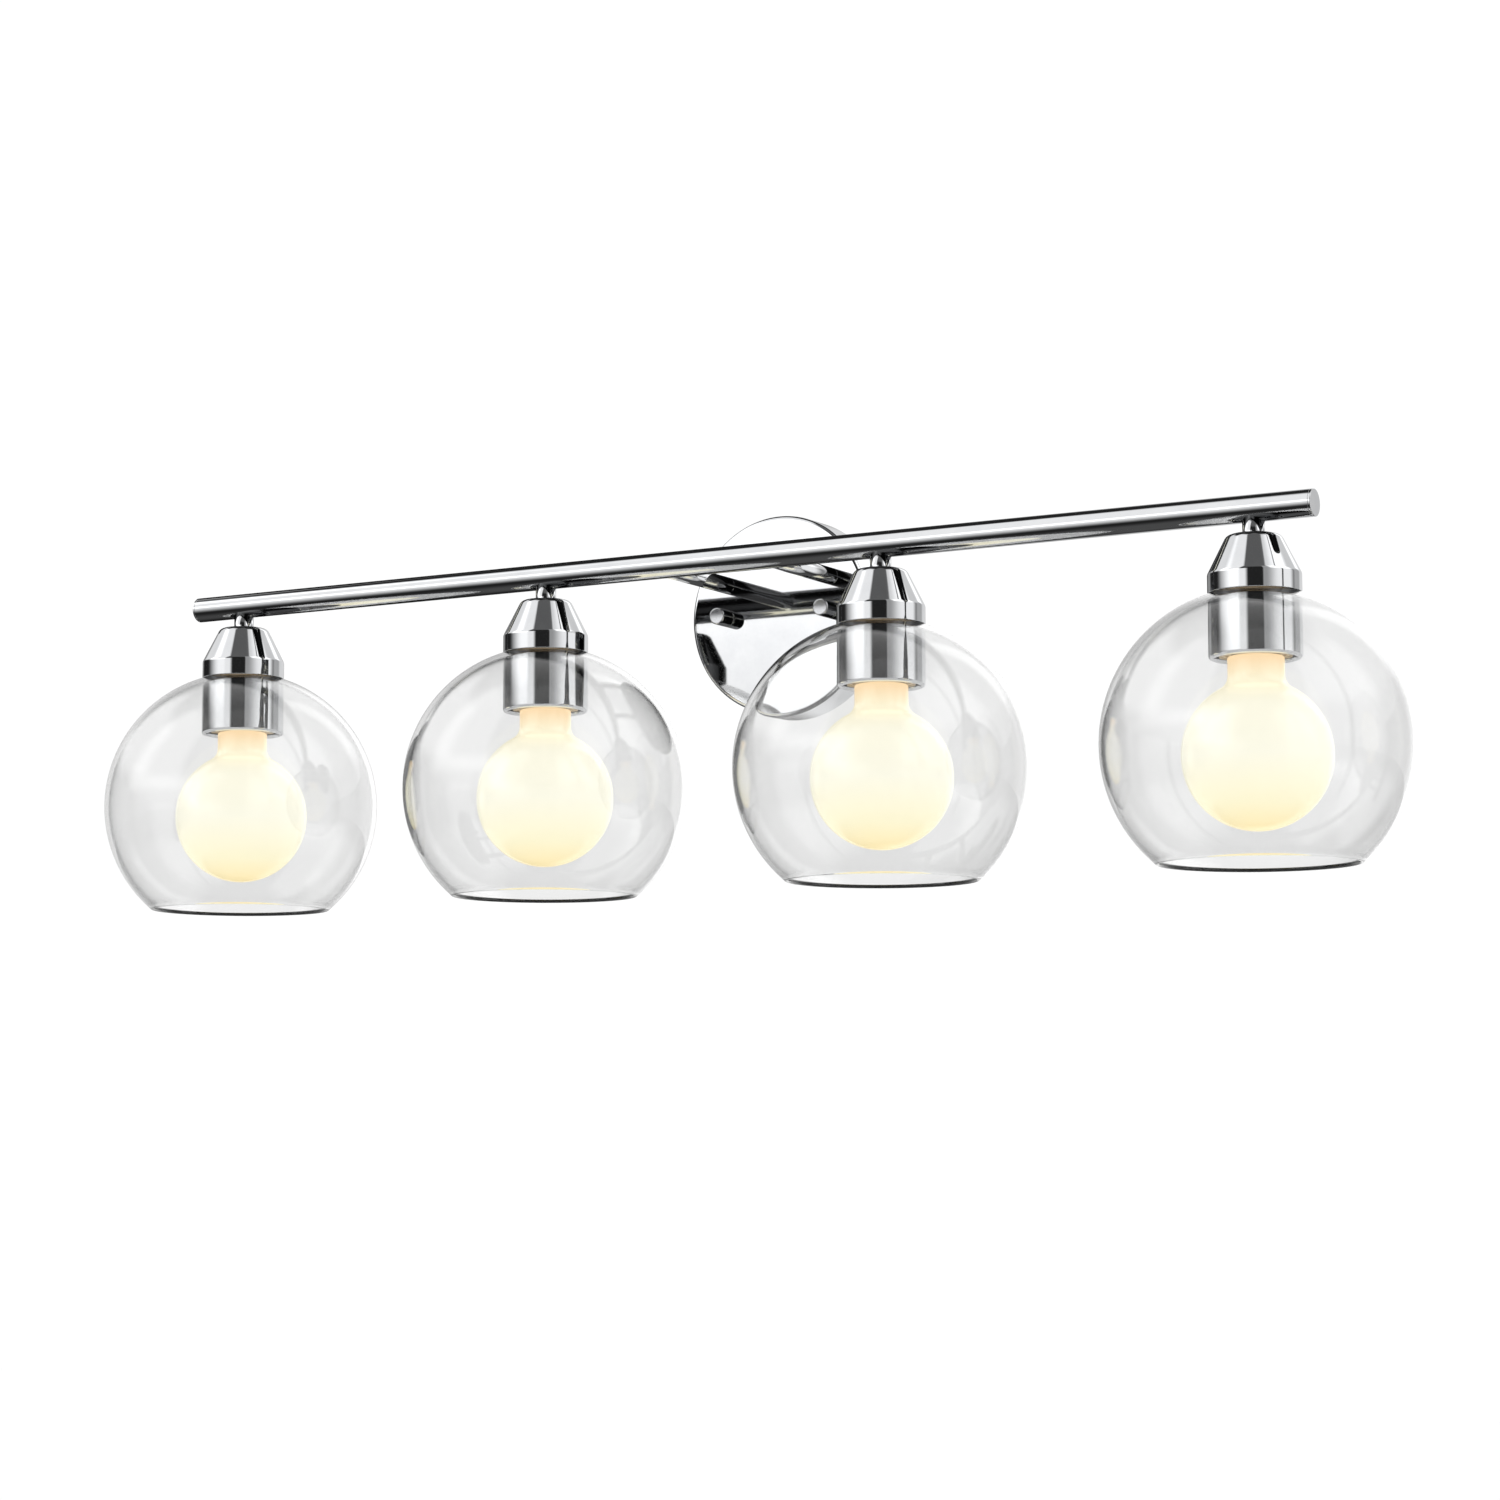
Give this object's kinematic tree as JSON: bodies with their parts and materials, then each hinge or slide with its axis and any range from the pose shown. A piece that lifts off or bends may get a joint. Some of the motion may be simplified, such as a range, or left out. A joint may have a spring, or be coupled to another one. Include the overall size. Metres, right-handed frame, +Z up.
{
  "type": "vanity light bar",
  "caption": "Wall-mounted vanity light: a polished chrome bar on two short arms over a round canopy, with a row of clear glass globe shades over lit opal globe bulbs.",
  "frame": {"origin": "centre of the canopy's back plane, on the wall", "axes": "+X along the bar to the viewer's right, +Y into the wall, +Z up; the lights are at negative Y"},
  "size_m": [0.832, 0.187, 0.2274],
  "materials": {
    "chrome": "polished",
    "clear_glass": "clear, polished",
    "lit_bulb": "milky, lit",
    "nickel_cap": "rolled",
    "contact": "soldered",
    "brass": "pressed",
    "porcelain": "unglazed, cream",
    "zinc_steel": "zinc plated",
    "washer": "nylon",
    "green_screw": "dyed zinc",
    "green_wire": "insulation",
    "black_wire": "insulation",
    "white_wire": "insulation",
    "wire_nut": "moulded"
  },
  "bodies": {
    "root": {"canopy": "chrome", "mounting_strap": "zinc_steel", "mounting_studs": "zinc_steel", "stud_nuts": "zinc_steel", "ground_screw": "green_screw", "ground_wire": "green_wire", "wire_nuts": "wire_nut", "hot_wires": "black_wire", "neutral_wires": "white_wire", "bar": "chrome", "bar_end_plugs": "chrome", "arm_left": "chrome", "arm_right": "chrome", "arm_nipples": "zinc_steel", "stem_nipples": "zinc_steel", "lock_nuts": "zinc_steel", "stem_1": "chrome", "stem_2": "chrome", "stem_3": "chrome", "stem_4": "chrome", "cup_1": "chrome", "cup_2": "chrome", "cup_3": "chrome", "cup_4": "chrome", "lampholder_1": "porcelain", "lampholder_2": "porcelain", "lampholder_3": "porcelain", "lampholder_4": "porcelain", "screw_shell_1": "brass", "screw_shell_2": "brass", "screw_shell_3": "brass", "screw_shell_4": "brass", "centre_contact_1": "brass", "centre_contact_2": "brass", "centre_contact_3": "brass", "centre_contact_4": "brass"},
    "shade_1": {"glass_shade_1": "clear_glass"},
    "ring_1": {"shade_ring_1": "chrome"},
    "bulb_seat_1": {"bulb_tip_1": "contact"},
    "bulb_1": {"bulb_cap_1": "nickel_cap", "bulb_glass_1": "lit_bulb"},
    "shade_2": {"glass_shade_2": "clear_glass"},
    "ring_2": {"shade_ring_2": "chrome"},
    "bulb_seat_2": {"bulb_tip_2": "contact"},
    "bulb_2": {"bulb_cap_2": "nickel_cap", "bulb_glass_2": "lit_bulb"},
    "shade_3": {"glass_shade_3": "clear_glass"},
    "ring_3": {"shade_ring_3": "chrome"},
    "bulb_seat_3": {"bulb_tip_3": "contact"},
    "bulb_3": {"bulb_cap_3": "nickel_cap", "bulb_glass_3": "lit_bulb"},
    "shade_4": {"glass_shade_4": "clear_glass"},
    "ring_4": {"shade_ring_4": "chrome"},
    "bulb_seat_4": {"bulb_tip_4": "contact"},
    "bulb_4": {"bulb_cap_4": "nickel_cap", "bulb_glass_4": "lit_bulb"},
    "left_knob_seat": {"knob_washer_left": "washer"},
    "left_knob": {"knob_left": "chrome"},
    "right_knob_seat": {"knob_washer_right": "washer"},
    "right_knob": {"knob_right": "chrome"}
  },
  "joints": [
    {"name": "shade_travel_1", "type": "slide", "parent": "root", "child": "shade_1", "axis": [0, 0, -1], "range_m": [0, 0.012]},
    {"name": "ring_turn_1", "type": "hinge", "parent": "shade_1", "child": "ring_1", "pos_m": [-0.333, -0.104, 0.02], "axis": [0, 0, -1], "range_deg": [0, 1440]},
    {"name": "bulb_travel_1", "type": "slide", "parent": "root", "child": "bulb_seat_1", "axis": [0, 0, -1], "range_m": [0, 0.02178]},
    {"name": "bulb_turn_1", "type": "hinge", "parent": "bulb_seat_1", "child": "bulb_1", "pos_m": [-0.333, -0.104, 0.02], "axis": [0, 0, -1], "range_deg": [0, 2160]},
    {"name": "shade_travel_2", "type": "slide", "parent": "root", "child": "shade_2", "axis": [0, 0, -1], "range_m": [0, 0.012]},
    {"name": "ring_turn_2", "type": "hinge", "parent": "shade_2", "child": "ring_2", "pos_m": [-0.111, -0.104, 0.02], "axis": [0, 0, -1], "range_deg": [0, 1440]},
    {"name": "bulb_travel_2", "type": "slide", "parent": "root", "child": "bulb_seat_2", "axis": [0, 0, -1], "range_m": [0, 0.02178]},
    {"name": "bulb_turn_2", "type": "hinge", "parent": "bulb_seat_2", "child": "bulb_2", "pos_m": [-0.111, -0.104, 0.02], "axis": [0, 0, -1], "range_deg": [0, 2160]},
    {"name": "shade_travel_3", "type": "slide", "parent": "root", "child": "shade_3", "axis": [0, 0, -1], "range_m": [0, 0.012]},
    {"name": "ring_turn_3", "type": "hinge", "parent": "shade_3", "child": "ring_3", "pos_m": [0.111, -0.104, 0.02], "axis": [0, 0, -1], "range_deg": [0, 1440]},
    {"name": "bulb_travel_3", "type": "slide", "parent": "root", "child": "bulb_seat_3", "axis": [0, 0, -1], "range_m": [0, 0.02178]},
    {"name": "bulb_turn_3", "type": "hinge", "parent": "bulb_seat_3", "child": "bulb_3", "pos_m": [0.111, -0.104, 0.02], "axis": [0, 0, -1], "range_deg": [0, 2160]},
    {"name": "shade_travel_4", "type": "slide", "parent": "root", "child": "shade_4", "axis": [0, 0, -1], "range_m": [0, 0.012]},
    {"name": "ring_turn_4", "type": "hinge", "parent": "shade_4", "child": "ring_4", "pos_m": [0.333, -0.104, 0.02], "axis": [0, 0, -1], "range_deg": [0, 1440]},
    {"name": "bulb_travel_4", "type": "slide", "parent": "root", "child": "bulb_seat_4", "axis": [0, 0, -1], "range_m": [0, 0.02178]},
    {"name": "bulb_turn_4", "type": "hinge", "parent": "bulb_seat_4", "child": "bulb_4", "pos_m": [0.333, -0.104, 0.02], "axis": [0, 0, -1], "range_deg": [0, 2160]},
    {"name": "left_knob_travel", "type": "slide", "parent": "root", "child": "left_knob_seat", "axis": [0, -1, 0], "range_m": [0, 0.00794]},
    {"name": "left_knob_turn", "type": "hinge", "parent": "left_knob_seat", "child": "left_knob", "pos_m": [-0.03492, -0.029, 0], "axis": [0, -1, 0], "range_deg": [0, 3600]},
    {"name": "right_knob_travel", "type": "slide", "parent": "root", "child": "right_knob_seat", "axis": [0, -1, 0], "range_m": [0, 0.00794]},
    {"name": "right_knob_turn", "type": "hinge", "parent": "right_knob_seat", "child": "right_knob", "pos_m": [0.03492, -0.029, 0], "axis": [0, -1, 0], "range_deg": [0, 3600]}
  ],
  "couplings": [
    {"joint": "ring_turn_1", "follows": "shade_travel_1", "rad_per_m": 2094.4},
    {"joint": "bulb_turn_1", "follows": "bulb_travel_1", "rad_per_m": 1730.9},
    {"joint": "ring_turn_2", "follows": "shade_travel_2", "rad_per_m": 2094.4},
    {"joint": "bulb_turn_2", "follows": "bulb_travel_2", "rad_per_m": 1730.9},
    {"joint": "ring_turn_3", "follows": "shade_travel_3", "rad_per_m": 2094.4},
    {"joint": "bulb_turn_3", "follows": "bulb_travel_3", "rad_per_m": 1730.9},
    {"joint": "ring_turn_4", "follows": "shade_travel_4", "rad_per_m": 2094.4},
    {"joint": "bulb_turn_4", "follows": "bulb_travel_4", "rad_per_m": 1730.9},
    {"joint": "left_knob_turn", "follows": "left_knob_travel", "rad_per_m": 7913.3},
    {"joint": "right_knob_turn", "follows": "right_knob_travel", "rad_per_m": 7913.3}
  ]
}
